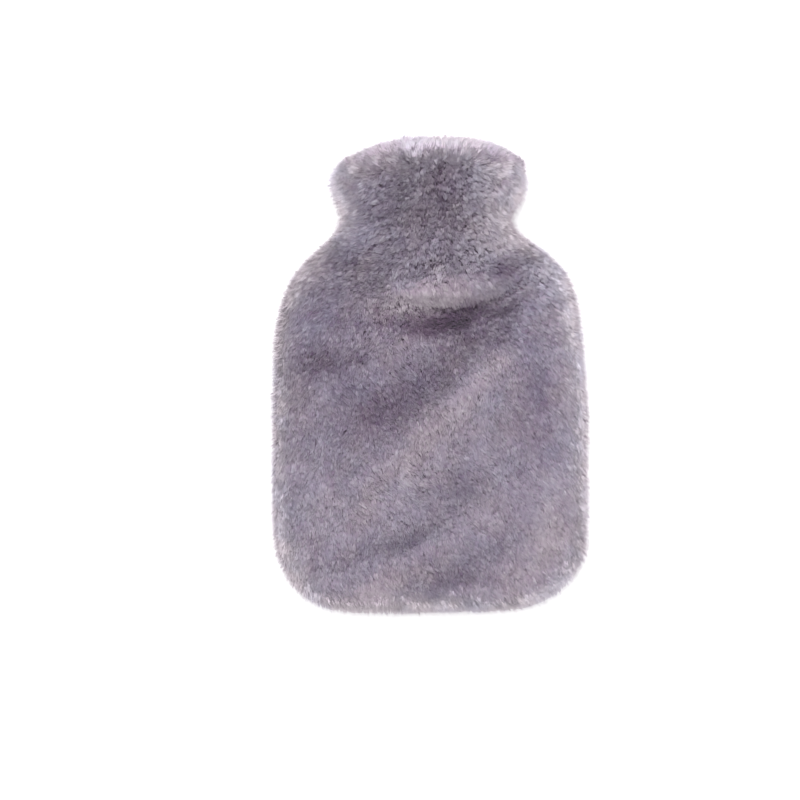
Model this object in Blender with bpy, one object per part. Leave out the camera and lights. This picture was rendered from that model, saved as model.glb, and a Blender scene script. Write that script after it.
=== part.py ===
"""A plush hot water bottle cover, lying on its back with room in it for the bottle.

A front panel and a back panel are sewn together round the sides and the bottom, and the neck is
open. Each panel is one solid: its backing cloth with the pile that stands on it, so that the outer
surface is where the tips of the pile are, and the inner surface is the bare reverse of the cloth.

Frame: +Y runs to the neck's mouth, +X to the right of the face, +Z out of the face. The origin is
under the middle of the cover, on the surface that it lies on. Lengths are in metres.
"""

from collections import namedtuple

import bmesh
import bpy
import numpy as np
from mathutils import Vector, noise

MM = 0.001

# The seam runs round the sides and the bottom at one height, in a flat plane.
SEAM_HEIGHT = 15 * MM
SEAM_GAP = 0.3 * MM
SEAM_LIP = 1.2 * MM

# The rounded sides: how far in from the outline they reach, and how high the front one stands
SIDE_REACH = 17 * MM
SIDE_RISE = 13.5 * MM
CROWN_POWER = 2.2

# The walls are as thick as the cloth and its pile. The pile of the back is pressed flat.
FRONT_WALL = 12 * MM
BACK_WALL = 7 * MM
SEAM_WALL = 11.5 * MM
ROOM_SIDE_REACH = 34 * MM
ROOM_END = 1.09
FOLD_INSIDE = 0.8

# The mouth's rounded lip: how deep it is, and the shares of each surface's height that it turns
LIP_REACH = 9 * MM
LIP_FRONT_DROP, LIP_CEILING_RISE = 0.27, 0.36
LIP_BACK_RISE, LIP_FLOOR_DROP = 0.25, 0.28
LIP_SIDE_WIDENING = 0.25

# The bottom and the mouth bulge past the outline's end corners, and lean to one side.
BOTTOM_SAG = 19.5 * MM
BOTTOM_SAG_LEAN = 1.4 * MM
BOTTOM_POWER = 5.4
MOUTH_RISE = 20 * MM
MOUTH_LEAN = 0.09
MOUTH_POWER = 2.8
BULGE_FROM = 0.3

CLUMP_SIZE, CLUMP_HEIGHT = 13 * MM, 0.8 * MM
SWELL_SIZE, SWELL_HEIGHT = 48 * MM, 1.3 * MM

COLUMNS, ROWS = 40, 60
ROOM_COLUMNS, ROOM_ROWS = 22, 30
ROOM_LIP_ROWS = (0.976, 0.985, 0.993, 1.0, 1.03, ROOM_END)
EDGE_STEPS = 200
FOLD_STEPS = 24

# The outline from the bottom corners to the mouth's corners: how far along, where the left and
# right sides are, and how high the face stands above the seam on the middle line.
Section = namedtuple("Section", "y left right crown")
SECTIONS_MM = (
    Section(-150, -97, 95, 20.5),
    Section(-134, -106.5, 107, 21.5),
    Section(-112, -111, 111.5, 23),
    Section(-64, -112.3, 112, 24.5),
    Section(-10, -111, 111, 24.5),
    Section(30, -109, 106.5, 24),
    Section(55, -103.5, 103, 23.5),
    Section(73, -95.5, 96.5, 23),
    Section(88, -82, 83, 22.5),
    Section(100, -71, 66.5, 22),
    Section(110, -65.5, 59, 21.5),
    Section(122, -66.5, 64.5, 21.5),
    Section(137, -71.5, 69, 21.5),
    Section(150, -66.5, 68.5, 21.5),
)

# The main folds of the face. Each runs from its start through its bend to its end, and fades out
# over its reach on each side. Where rise is under zero, it lies below the face.
Fold = namedtuple("Fold", "name start bend end reach rise")
FOLDS_MM = (
    Fold("shoulder_ridge", (-62, 57), (8, 62), (66, 79), 9, 4.5),
    Fold("shoulder_pocket", (-26, 48), (26, 43), (74, 68), 8, -8),
    Fold("waist_to_hip_trough", (58, 33), (10, 0), (-48, -35), 12, -3.6),
    Fold("waist_to_hip_ridge", (73, 26), (24, -15), (-26, -55), 14, 3),
    Fold("upper_hem_trough", (66, -65), (18, -102), (-28, -126), 11, -2.6),
    Fold("upper_hem_ridge", (42, -101), (0, -128), (-46, -151), 9, 2.6),
    Fold("lower_hem_trough", (88, -106), (38, -132), (-20, -153), 10, -2.6),
    Fold("left_flank_trough", (-106, 23), (-86, 15), (-62, 2), 8, -2.8),
    Fold("right_shoulder_trough", (44, 87), (70, 78), (85, 56), 6, -2.2),
    Fold("left_shoulder_trough", (-62, 86), (-40, 84), (-14, 84), 6, -2),
    Fold("neck_crease", (-56, 109), (-45, 107), (-33, 105), 4, -2.2),
)


def clear_scene():
    """Takes out the objects that the scene starts with."""
    for obj in list(bpy.data.objects):
        bpy.data.objects.remove(obj)


def make_collection(name):
    """A new collection in the scene."""
    collection = bpy.data.collections.new(name)
    bpy.context.scene.collection.children.link(collection)
    return collection


def plush_material(name, colour):
    """A dull cloth finish of one colour."""
    material = bpy.data.materials.new(name)
    material.use_nodes = True
    shader = material.node_tree.nodes["Principled BSDF"]
    shader.inputs["Base Color"].default_value = (*colour, 1.0)
    shader.inputs["Roughness"].default_value = 0.9
    shader.inputs["Metallic"].default_value = 0.0
    shader.inputs["Sheen Weight"].default_value = 0.5
    return material


def smooth_through(ys, values, at):
    """The smooth curve through the points (ys, values), read at these ys. It is level past them."""
    slopes = np.gradient(values, ys)
    i = np.clip(np.searchsorted(ys, at, side="right") - 1, 0, len(ys) - 2)
    width = ys[i + 1] - ys[i]
    u = np.clip((at - ys[i]) / width, 0, 1)
    return (
        (2 * u**3 - 3 * u**2 + 1) * values[i]
        + (u**3 - 2 * u**2 + u) * width * slopes[i]
        + (3 * u**2 - 2 * u**3) * values[i + 1]
        + (u**3 - u**2) * width * slopes[i + 1]
    )


SECTION_YS, LEFT_XS, RIGHT_XS, CROWNS = np.array(SECTIONS_MM, float).T * MM
CORNER_TO_CORNER = SECTION_YS[-1] - SECTION_YS[0]


def rounded(share):
    """A quarter circle's height, from 0 at share 0 to 1 at share 1 and over."""
    return np.sqrt(1 - (1 - np.clip(share, 0, 1)) ** 2)


def lip(along):
    """How far the mouth's lip has turned over: 0 inside the neck, 1 at the mouth and past it."""
    return 1 - rounded((1 - along) * CORNER_TO_CORNER / LIP_REACH)


def plan(across, along, inset=0.0):
    """Places on the cover seen from above, and the crown there.

    across runs from -1 on the left side to 1 on the right, and along from 0 at the bottom edge to
    1 at the mouth, or on past it. The sides and the bottom are drawn in by inset.
    """
    low, high = SECTION_YS[0] + 0.6 * inset, SECTION_YS[-1]
    y = low + along * (high - low)
    left = smooth_through(SECTION_YS, LEFT_XS, y) + inset
    right = smooth_through(SECTION_YS, RIGHT_XS, y) - inset
    crown = smooth_through(SECTION_YS, CROWNS, y)
    sag = (BOTTOM_SAG - 0.4 * inset - BOTTOM_SAG_LEAN * across) * (1 - np.abs(across) ** BOTTOM_POWER)
    apex = across - MOUTH_LEAN * (1 - across**2)
    rise = MOUTH_RISE * (1 - np.abs(apex) ** MOUTH_POWER)
    near_bottom = np.clip(1 - along / BULGE_FROM, 0, 1) ** 2
    near_mouth = np.clip((along - 1) / BULGE_FROM + 1, 0, 1) ** 2
    x = (left + right) / 2 + across * (right - left) / 2
    return x, y - near_bottom * sag + near_mouth * rise, crown


def room_plan(across, along):
    """As plan, for the room inside, whose sides open out at the mouth's lip."""
    return plan(across, along, SEAM_WALL * (1 - LIP_SIDE_WIDENING * lip(along)))


def sewn_edge(place):
    """The line down the left side of a plan, along its bottom and up its right side."""
    there = np.linspace(0, 1, EDGE_STEPS)
    side, level = np.ones(EDGE_STEPS), np.zeros(EDGE_STEPS)
    runs = ((-side, ROOM_END * (1 - there)), (2 * there - 1, level), (side, ROOM_END * there))
    return np.concatenate([np.stack(place(*run)[:2], -1) for run in runs])


def distance_to(line, x, y):
    """How far each place is from a line of points joined by straight runs."""
    start, run = line[:-1], np.diff(line, axis=0)
    away = np.stack((x, y), -1)[..., None, :] - start
    length = np.maximum((run**2).sum(-1), 1e-12)
    share = np.clip((away * run).sum(-1) / length, 0, 1)
    return np.linalg.norm(away - share[..., None] * run, axis=-1).min(-1)


def fold_line(fold):
    """Points along a fold, and how strong it is at each: full in the middle, fading to its ends."""
    u = np.linspace(0, 1, FOLD_STEPS)[:, None]
    start, bend, end = (np.array(point) * MM for point in (fold.start, fold.bend, fold.end))
    control = 2 * bend - (start + end) / 2
    points = (1 - u) ** 2 * start + 2 * u * (1 - u) * control + u**2 * end
    return points, np.sin(np.pi * u[:, 0]) ** 0.6


def fold_relief(x, y):
    """How far the folds lift or lower the face at each place."""
    relief = np.zeros_like(x)
    for fold in FOLDS_MM:
        points, strength = fold_line(fold)
        apart = np.hypot(x[..., None] - points[:, 0], y[..., None] - points[:, 1])
        felt = strength * np.exp(-((apart / (fold.reach * MM)) ** 2))
        relief += fold.rise * MM * felt.max(-1)
    return relief


def unevenness(x, y, layer):
    """The clumps of the pile and the slow swell of the cloth under it."""
    uneven = np.zeros_like(x)
    for i in np.ndindex(x.shape):
        place, lift = Vector((x[i], y[i], 0)), Vector((0, 0, layer))
        uneven[i] = CLUMP_HEIGHT * noise.noise(place / CLUMP_SIZE + lift)
        uneven[i] += SWELL_HEIGHT * noise.noise(place / SWELL_SIZE - lift)
    return uneven


def front_surface(across, along):
    """The tips of the pile on the front panel."""
    x, y, crown = plan(across, along)
    edge = distance_to(sewn_edge(plan), x, y)
    inward = np.clip(edge / (2 * SIDE_REACH), 0, 1)
    side = SIDE_RISE * rounded(edge / SIDE_REACH)
    dome = (crown - SIDE_RISE) * (1 - np.abs(across) ** CROWN_POWER) * rounded(inward)
    relief = fold_relief(x, y) * inward + unevenness(x, y, 1) * rounded(inward)
    height = (side + dome + relief) * (1 - LIP_FRONT_DROP * lip(along))
    return x, y, SEAM_HEIGHT + np.maximum(height, SEAM_LIP)


def back_surface(across, along):
    """The tips of the pile on the back panel, pressed flat by what the cover lies on."""
    x, y, _ = plan(across, along)
    edge = distance_to(sewn_edge(plan), x, y)
    depth = SEAM_HEIGHT * rounded(edge / SIDE_REACH) * (1 - LIP_BACK_RISE * lip(along))
    return x, y, SEAM_HEIGHT - np.maximum(depth, SEAM_LIP)


def room_surfaces(across, along):
    """The ceiling and the floor of the room for the bottle: the reverse of each panel's cloth."""
    x, y, crown = room_plan(across, along)
    share = rounded(distance_to(sewn_edge(room_plan), x, y) / ROOM_SIDE_REACH)
    rise = (crown - FRONT_WALL + FOLD_INSIDE * fold_relief(x, y)) * share
    depth = (SEAM_HEIGHT - BACK_WALL - SEAM_LIP) * share
    ceiling = SEAM_LIP + rise * (1 + LIP_CEILING_RISE * lip(along))
    floor = SEAM_LIP + depth * (1 + LIP_FLOOR_DROP * lip(along))
    return x, y, SEAM_HEIGHT + ceiling, SEAM_HEIGHT - floor


def crowded_to_ends(count):
    """Places from 0 to 1 that lie closer together at both ends, where the sides turn down."""
    return (1 - np.cos(np.pi * np.linspace(0, 1, count))) / 2


def panel_net():
    """The across and along values of a net over the whole cover."""
    along = 0.45 * crowded_to_ends(ROWS) + 0.55 * np.linspace(0, 1, ROWS)
    return np.meshgrid(2 * crowded_to_ends(COLUMNS) - 1, along)


def room_net():
    """The across and along values of a net over the room, which runs out past the mouth."""
    to_the_lip = ROOM_LIP_ROWS[0] * np.linspace(0, 1, ROOM_ROWS) ** 1.15
    along = np.concatenate((to_the_lip, ROOM_LIP_ROWS[1:]))
    return np.meshgrid(2 * crowded_to_ends(ROOM_COLUMNS) - 1, along)


def add_net(mesh, x, y, z):
    """Adds a net of four-cornered faces, and returns its vertices as an array."""
    net = np.empty(x.shape, object)
    for i in np.ndindex(x.shape):
        net[i] = mesh.verts.new((x[i], y[i], z[i]))
    for row, column in np.ndindex(x.shape[0] - 1, x.shape[1] - 1):
        low, high = net[row], net[row + 1]
        mesh.faces.new((low[column], low[column + 1], high[column + 1], high[column]))
    return net


def rim_of(net):
    """The outer vertices of a net, in order round it."""
    return [*net[0, :-1], *net[:-1, -1], *net[-1, :0:-1], *net[:0:-1, 0]]


def join_rims(mesh, upper, lower):
    """Adds a wall between two closed rows of vertices."""
    for i in range(len(upper)):
        after = (i + 1) % len(upper)
        mesh.faces.new((upper[i], lower[i], lower[after], upper[after]))


def finish_solid(mesh, name, collection):
    """Turns a closed bmesh into an object with its faces pointing out."""
    bmesh.ops.recalc_face_normals(mesh, faces=mesh.faces)
    data = bpy.data.meshes.new(name)
    mesh.to_mesh(data)
    mesh.free()
    obj = bpy.data.objects.new(name, data)
    collection.objects.link(obj)
    return obj


def solid_panel(name, surface, seam_z, collection):
    """One panel before the room is cut: its outer surface, closed by a flat face at the seam."""
    mesh = bmesh.new()
    rim = rim_of(add_net(mesh, *surface(*panel_net())))
    flat = [mesh.verts.new((vert.co.x, vert.co.y, seam_z)) for vert in rim]
    join_rims(mesh, rim, flat)
    mesh.faces.new(flat)
    return finish_solid(mesh, name, collection)


def bottle_room(collection):
    """The cutter that hollows both panels and opens the mouth."""
    x, y, ceiling, floor = room_surfaces(*room_net())
    mesh = bmesh.new()
    upper, lower = add_net(mesh, x, y, ceiling), add_net(mesh, x, y, floor)
    join_rims(mesh, rim_of(upper), rim_of(lower))
    room = finish_solid(mesh, "bottle_room", collection)
    room.hide_render = True
    room.display_type = "WIRE"
    return room


def hollow_out(panel, cutter, material):
    """Cuts the bottle's room from a panel, and gives the panel its finish."""
    cut = panel.modifiers.new("room", "BOOLEAN")
    cut.operation = "DIFFERENCE"
    cut.solver = "EXACT"
    cut.object = cutter
    panel.data.materials.append(material)
    panel.data.shade_smooth()


def main():
    """Builds the two panels round one room."""
    clear_scene()
    cover = make_collection("hot_water_bottle_cover")
    cutters = make_collection("cutters")
    room = bottle_room(cutters)
    front = solid_panel("front_panel", front_surface, SEAM_HEIGHT + SEAM_GAP / 2, cover)
    back = solid_panel("back_panel", back_surface, SEAM_HEIGHT - SEAM_GAP / 2, cover)
    hollow_out(front, room, plush_material("mauve_plush_front", (0.30, 0.26, 0.32)))
    hollow_out(back, room, plush_material("mauve_plush_back", (0.28, 0.24, 0.30)))


main()
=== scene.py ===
import logging
import math
from dataclasses import dataclass, field
from enum import Enum
from typing import Any

import bpy
import bmesh
import numpy as np
from mathutils import Color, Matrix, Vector
from mathutils.bvhtree import BVHTree
from mathutils.kdtree import KDTree


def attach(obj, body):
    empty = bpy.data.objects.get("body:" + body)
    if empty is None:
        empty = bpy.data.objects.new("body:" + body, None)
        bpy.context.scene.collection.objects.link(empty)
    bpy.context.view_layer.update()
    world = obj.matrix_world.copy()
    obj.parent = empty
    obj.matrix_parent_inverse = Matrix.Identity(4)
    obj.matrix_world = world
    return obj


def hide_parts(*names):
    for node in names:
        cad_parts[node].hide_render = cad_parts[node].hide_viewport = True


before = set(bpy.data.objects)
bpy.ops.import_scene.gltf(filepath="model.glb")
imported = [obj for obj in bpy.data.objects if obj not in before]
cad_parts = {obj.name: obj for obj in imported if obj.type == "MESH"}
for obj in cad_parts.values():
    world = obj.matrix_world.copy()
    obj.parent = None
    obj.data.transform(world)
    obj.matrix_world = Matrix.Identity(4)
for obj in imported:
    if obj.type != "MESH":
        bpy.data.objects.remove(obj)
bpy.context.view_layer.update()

LOG = logging.getLogger("plush_cover")

Colour = tuple[float, float, float, float]

MM = 0.001
TINY = 1e-9
WELD = 0.01 * MM
SEAM_HEIGHT = 15.0

MOUTH_TOP = 170.0
MOUTH_DROP = 20.0
MOUTH_HALF_WIDTH = 65.0
HEM_INSET = 11.0


def mouth_edge(x: np.ndarray | float) -> np.ndarray | float:
    """How far along the cover the pile of its mouth reaches, at a place across it."""
    return MOUTH_TOP - MOUTH_DROP * (x / MOUTH_HALF_WIDTH) ** 2


def hem_edge(x: np.ndarray | float) -> np.ndarray | float:
    """How far along the cover the cloth of its mouth reaches, at a place across it."""
    return mouth_edge(x) - HEM_INSET


def unit(vectors: np.ndarray) -> np.ndarray:
    """The vectors at a length of one."""
    return vectors / np.maximum(np.linalg.norm(vectors, axis=-1, keepdims=True), TINY)


def flattened(vectors: np.ndarray, normals: np.ndarray) -> np.ndarray:
    """What is left of each vector along the surface that has the normal."""
    return vectors - normals * (vectors * normals).sum(1, keepdims=True)


def tipped(normals: np.ndarray, ways: np.ndarray, lean: np.ndarray) -> np.ndarray:
    """The normals, each tipped over along its way by a lean, in radians."""
    return normals * np.cos(lean)[:, None] + ways * np.sin(lean)[:, None]


def blend(low: np.ndarray | float, high: np.ndarray | float, share: np.ndarray) -> np.ndarray:
    """What lies between two values, at a share of the way from the first to the second."""
    return low + (high - low) * share


@dataclass(frozen=True)
class Ramp:
    """A smooth change from one value to another, between two places on a scale."""

    start: float
    end: float
    first: float = 0.0
    last: float = 1.0

    def at(self, places: np.ndarray) -> np.ndarray:
        """The value at each place."""
        share = np.clip((places - self.start) / (self.end - self.start), 0.0, 1.0)
        return blend(self.first, self.last, share * share * (3.0 - 2.0 * share))


@dataclass(frozen=True)
class Drift:
    """A soft random field over the cover, for what changes slowly from place to place.

    It is a sum of waves of about one length, in millimetres, that run in all directions. The
    height is about how far the field reaches on either side of 0, and the spread how much the
    waves differ in length.
    """

    wavelength: float
    height: float
    seed: int
    waves: int = 28
    spread: float = 0.35

    def at(self, points: np.ndarray) -> np.ndarray:
        """The field's value at each point.

        Args:
            points: places, one in each row.

        Returns:
            The values.
        """
        rng = np.random.default_rng(self.seed)
        ways = unit(rng.normal(size=(self.waves, 3)))
        lengths = self.wavelength * np.exp(rng.normal(0.0, self.spread, self.waves))
        starts = rng.uniform(0.0, math.tau, self.waves)
        total = np.zeros(len(points))
        for way, length, start in zip(ways, lengths, starts):
            total += np.cos(points @ way * math.tau / length + start)
        return total / math.sqrt(self.waves / 2.0) * self.height


# --- Shader maths ---


class Value:
    """A number in a shader, with Python's operators. An operator adds a Math node."""

    def __init__(self, graph: "Graph", socket: bpy.types.NodeSocket) -> None:
        """Wraps an output socket of a graph's node."""
        self.graph = graph
        self.socket = socket

    def _math(self, operation: str, first: Any, second: Any) -> "Value":
        """A Math node of two values."""
        return self.graph.node("ShaderNodeMath", {"operation": operation}, {0: first, 1: second})

    def __add__(self, other: Any) -> "Value":
        """Their sum."""
        return self._math("ADD", self, other)

    def __sub__(self, other: Any) -> "Value":
        """Their difference."""
        return self._math("SUBTRACT", self, other)

    def __rsub__(self, other: Any) -> "Value":
        """Their difference, the other way round."""
        return self._math("SUBTRACT", other, self)

    def __mul__(self, other: Any) -> "Value":
        """Their product."""
        return self._math("MULTIPLY", self, other)

    def __pow__(self, other: Any) -> "Value":
        """This value to a power."""
        return self._math("POWER", self, other)

    __radd__ = __add__
    __rmul__ = __mul__

    def clamped(self) -> "Value":
        """This value, held between 0 and 1."""
        return self.graph.node("ShaderNodeClamp", {}, {"Value": self})


class Graph:
    """The node tree of one material."""

    def __init__(self, name: str) -> None:
        """Makes an empty material of that name.

        Args:
            name: the material's name.
        """
        self.material = bpy.data.materials.new(name)
        self.material.use_nodes = True
        self.tree = self.material.node_tree
        self.tree.nodes.clear()

    def node(self, kind: str, settings: dict[str, Any], sockets: dict[Any, Any], out: Any = 0) -> Value:
        """Adds a node.

        Args:
            kind: the node's type.
            settings: its settings, set first.
            sockets: values or links of its inputs, by name or place.
            out: the name or place of the output that is wanted.

        Returns:
            That output.
        """
        made = self.tree.nodes.new(kind)
        for key, setting in settings.items():
            setattr(made, key, setting)
        for key, given in sockets.items():
            if isinstance(given, Value):
                self.tree.links.new(given.socket, made.inputs[key])
            else:
                made.inputs[key].default_value = given
        return Value(self, made.outputs[out])

    def read(self, name: str) -> Value:
        """A number that the mesh holds under a name."""
        return self.node("ShaderNodeAttribute", {"attribute_name": name}, {}, "Fac")

    def place(self) -> Value:
        """The place on the object, in metres."""
        return self.node("ShaderNodeTexCoord", {}, {}, "Object")

    def mix(self, share: Any, first: Any, second: Any, way: str = "MIX") -> Value:
        """Mixes two colours.

        Args:
            share: how much of the second colour, from 0 to 1.
            first: the first colour.
            second: the second colour.
            way: how they are blended.

        Returns:
            The mixed colour.
        """
        settings = {"data_type": "RGBA", "blend_type": way, "clamp_factor": True}
        return self.node("ShaderNodeMix", settings, {0: share, 6: first, 7: second}, 2)

    def scaled(self, colour: Value, scale: Any) -> Value:
        """A colour that is made lighter or darker."""
        return self.node("ShaderNodeVectorMath", {"operation": "SCALE"}, {0: colour, "Scale": scale})

    def bump(self, height: Value, strength: float, distance: float) -> Value:
        """A normal that shows a height of the surface.

        Args:
            height: the height, from 0 to 1.
            strength: how much of it shows.
            distance: how high 1 stands, in metres.

        Returns:
            The normal.
        """
        sockets = {"Height": height, "Strength": strength, "Distance": distance}
        return self.node("ShaderNodeBump", {}, sockets)

    def finish(self, sockets: dict[Any, Any]) -> bpy.types.Material:
        """Ends the graph in a Principled shader.

        Args:
            sockets: values or links of the shader's inputs.

        Returns:
            The material.
        """
        shader = self.node("ShaderNodeBsdfPrincipled", {}, sockets)
        output = self.tree.nodes.new("ShaderNodeOutputMaterial")
        self.tree.links.new(shader.socket, output.inputs["Surface"])
        return self.material


def paint(*levels: float) -> Colour:
    """The shader's colour for the red, green and blue of a picture, from 0 to 255."""
    linear = Color([level / 255.0 for level in levels]).from_srgb_to_scene_linear()
    return (*linear, 1.0)


# --- Finishes ---


@dataclass(frozen=True)
class PileFinish:
    """Dull fibres, dark at the root and pale at the tip, between a bluish and a pinkish grey. The dark
    root is partly the fibres' own colour and partly painted shade deep in the pile.

    Where they are darkest, mostly from painted shade, the shadow tint colours them. Where they are
    palest they are brighter by a factor, and by a gain more where their shade is past the one that it
    starts from, as the thin ends at the outline are: a painted highlight for the light that they let
    through.
    """

    # the root colour: partly the fibres' own darker roots, partly painted shade deep in the pile
    root: Colour = paint(154, 130, 154)
    bluish: Colour = paint(148, 148, 161)
    pinkish: Colour = paint(159, 152, 156)
    quickening: float = 1.35
    curve: float = 0.8
    # painted shade: the purple tint that the darkest shades take
    shadow_tint: Colour = paint(151, 128, 156)
    palest: float = 1.28
    bright_from: float = 0.75
    # painted highlight: the gain past the start, which only the outline reaches
    painted_highlight_gain: float = 3.2
    sheen_tint: Colour = paint(226, 220, 232)

    def material(self) -> bpy.types.Material:
        """Makes the material, which reads along, shade and hue from the mesh.

        Returns:
            The material.
        """
        graph = Graph("pile")
        along, shade, hue = graph.read("along"), graph.read("shade"), graph.read("hue")
        fibre = graph.mix(hue, self.bluish, self.pinkish)
        coloured = graph.mix((along * self.quickening).clamped() ** self.curve, self.root, fibre)
        # painted shade: the lower the shade, the more of the shadow tint
        tint = graph.mix(shade, self.shadow_tint, (1.0, 1.0, 1.0, 1.0))
        # painted highlight at the outline, where the shade passes the start of the gain
        gain = self.palest + self.painted_highlight_gain * (shade - self.bright_from).clamped()
        return graph.finish({
            "Base Color": graph.scaled(graph.mix(1.0, coloured, tint, "MULTIPLY"), gain),
            "Roughness": 0.75,
            "Specular IOR Level": 0.2,
            "Sheen Weight": 0.35,
            "Sheen Roughness": 0.45,
            "Sheen Tint": self.sheen_tint,
        })


@dataclass(frozen=True)
class UnderwoolFinish:
    """The short dense wool at the pile's foot, which shows as the dark between the tufts."""

    dark: Colour = paint(168, 148, 168)
    light: Colour = paint(192, 174, 191)
    grain: float = 900.0
    height: float = 0.6 * MM
    relief: float = 0.6

    def material(self) -> bpy.types.Material:
        """Makes the material.

        Returns:
            The material.
        """
        graph = Graph("underwool")
        sockets = {"Vector": graph.place(), "Scale": self.grain, "Detail": 3.0}
        fluff = graph.node("ShaderNodeTexNoise", {}, sockets)
        return graph.finish({
            "Base Color": graph.mix(fluff, self.dark, self.light),
            "Roughness": 0.9,
            "Normal": graph.bump(fluff, self.relief, self.height),
        })


@dataclass(frozen=True)
class KnitFinish:
    """The knitted back of the cloth, which shows inside the mouth."""

    thread: Colour = paint(150, 140, 154)
    gap: Colour = paint(92, 82, 98)
    wale: float = 1.1 * MM
    course: float = 0.8 * MM
    wale_wander: float = 0.6
    course_wander: float = 0.9
    course_share: float = 0.45
    height: float = 0.4 * MM
    relief: float = 0.7

    WAVE_AT_ONE = 0.314

    def _bands(self, graph: Graph, axis: str, width: float, wander: float) -> Value:
        """Soft bands across one axis of the cloth.

        Args:
            graph: the material's graph.
            axis: the axis that they follow each other along.
            width: the width of a band and its gap, in metres.
            wander: how far the bands stray.

        Returns:
            Their height, from 0 to 1.
        """
        sockets = {"Vector": graph.place(), "Scale": self.WAVE_AT_ONE / width, "Distortion": wander,
                   "Detail": 1.0, "Detail Scale": 3.0}
        return graph.node("ShaderNodeTexWave", {"bands_direction": axis}, sockets, "Fac")

    def material(self) -> bpy.types.Material:
        """Makes the material: ribs along the cover, crossed by the stitches of each row.

        Returns:
            The material.
        """
        graph = Graph("knit_reverse")
        wales = self._bands(graph, "X", self.wale, self.wale_wander)
        courses = self._bands(graph, "Y", self.course, self.course_wander)
        loops = wales * (1.0 - self.course_share * (1.0 - courses))
        return graph.finish({
            "Base Color": graph.mix(loops, self.gap, self.thread),
            "Roughness": 0.85,
            "Normal": graph.bump(loops, self.relief, self.height),
        })


@dataclass(frozen=True)
class FloorFinish:
    """A plain pale floor."""

    colour: Colour = paint(252, 252, 252)
    glow: float = 0.35

    def material(self) -> bpy.types.Material:
        """Makes the material.

        Returns:
            The material.
        """
        return Graph("pale_floor").finish({
            "Base Color": self.colour,
            "Roughness": 0.9,
            "Emission Color": self.colour,
            "Emission Strength": self.glow,
        })


# --- How the pile lies ---


@dataclass(frozen=True)
class Lay:
    """The way that the pile lies about one place of the face.

    The heading is in degrees on the face: 0 is to the foot of the cover, 90 to the right, 180 to
    the mouth. The lean is how far the fibres tip over from straight up, in degrees.
    """

    x: float
    y: float
    heading: float
    lean: float
    reach: float = 26.0


@dataclass(frozen=True)
class Patch:
    """An oval place on the face where the pile looks different, as it fell in handling, and where
    painted shade or painted light stands in for how the light falls there.

    The oval is long by short, half across, and turned by degrees from the way across the cover.
    Stand is how much the pile is stood up, below 0 where it is smoothed down. Tone is painted shade,
    below 0, or painted light, for the light on the folds and on pile that stands up or lies down,
    and warmth makes it pinker or, below 0, bluer.
    """

    name: str
    x: float
    y: float
    long: float
    short: float
    turn: float
    stand: float
    tone: float
    warmth: float = 0.0

    def at(self, points: np.ndarray) -> np.ndarray:
        """How much of the patch there is at some places.

        Args:
            points: the places.

        Returns:
            A share for each, from 0 to 1.
        """
        turn = math.radians(self.turn)
        x, y = points[:, 0] - self.x, points[:, 1] - self.y
        along = (x * math.cos(turn) + y * math.sin(turn)) / self.long
        across = (y * math.cos(turn) - x * math.sin(turn)) / self.short
        return np.exp(-(along ** 2 + across ** 2))


LAYS = (
    # the body, whose pile is brushed down and a little to the right
    Lay(-100, 25, -14, 64), Lay(-100, -40, -2, 66), Lay(-96, -110, -2, 69), Lay(-72, 10, -8, 64),
    Lay(-70, -50, 4, 66), Lay(-66, -110, 8, 70), Lay(-60, -145, 14, 70), Lay(-46, 10, 10, 64),
    Lay(-44, -25, 28, 66), Lay(-38, -80, 22, 69), Lay(-22, -140, 14, 71), Lay(-18, 0, 22, 64),
    Lay(-10, -45, 24, 69), Lay(2, -100, 28, 72), Lay(10, -22, 10, 66), Lay(28, -65, 30, 72),
    Lay(30, -130, 30, 74), Lay(44, 0, 16, 69), Lay(56, -90, 30, 74), Lay(56, -140, 36, 72),
    Lay(62, -40, 26, 72), Lay(78, 20, 36, 69), Lay(86, -20, 28, 71), Lay(100, -60, 28, 72),
    Lay(98, -120, 28, 70),
    # the shoulders, whose pile falls away on either side
    Lay(-80, 66, -58, 62, 20), Lay(-72, 42, -28, 60, 20), Lay(-50, 78, -54, 60, 18),
    Lay(-46, 54, -20, 60, 18), Lay(-22, 82, -22, 60, 18), Lay(-16, 52, 4, 62, 18),
    Lay(6, 80, -10, 60, 18), Lay(14, 56, 14, 63, 16), Lay(8, 34, 38, 60, 16),
    Lay(34, 80, 34, 60, 18), Lay(44, 56, 36, 67, 18), Lay(60, 82, 50, 60, 18),
    Lay(82, 62, 50, 65, 20), Lay(28, 22, 8, 61, 16), Lay(58, 32, 32, 64, 20),
    # the neck, whose pile stands up in its middle and falls away at its edges
    Lay(-48, 102, -64, 56, 14), Lay(-22, 102, -18, 51, 14), Lay(6, 104, -4, 46, 14),
    Lay(30, 100, 32, 53, 14), Lay(54, 100, 50, 58, 14), Lay(-60, 128, -66, 61, 12),
    Lay(-36, 130, -56, 48, 14), Lay(-12, 126, -30, 41, 16), Lay(8, 126, 12, 37, 16),
    Lay(32, 130, 34, 47, 14), Lay(56, 130, 42, 56, 12), Lay(-56, 150, -100, 61, 10),
    Lay(-32, 157, -135, 58, 9), Lay(-8, 163, 178, 66, 9), Lay(20, 162, 165, 64, 9),
    Lay(44, 156, 125, 66, 9), Lay(62, 146, 85, 64, 10),
)

# the tone of each patch is painted shade where it is below 0 and painted light where above
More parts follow.
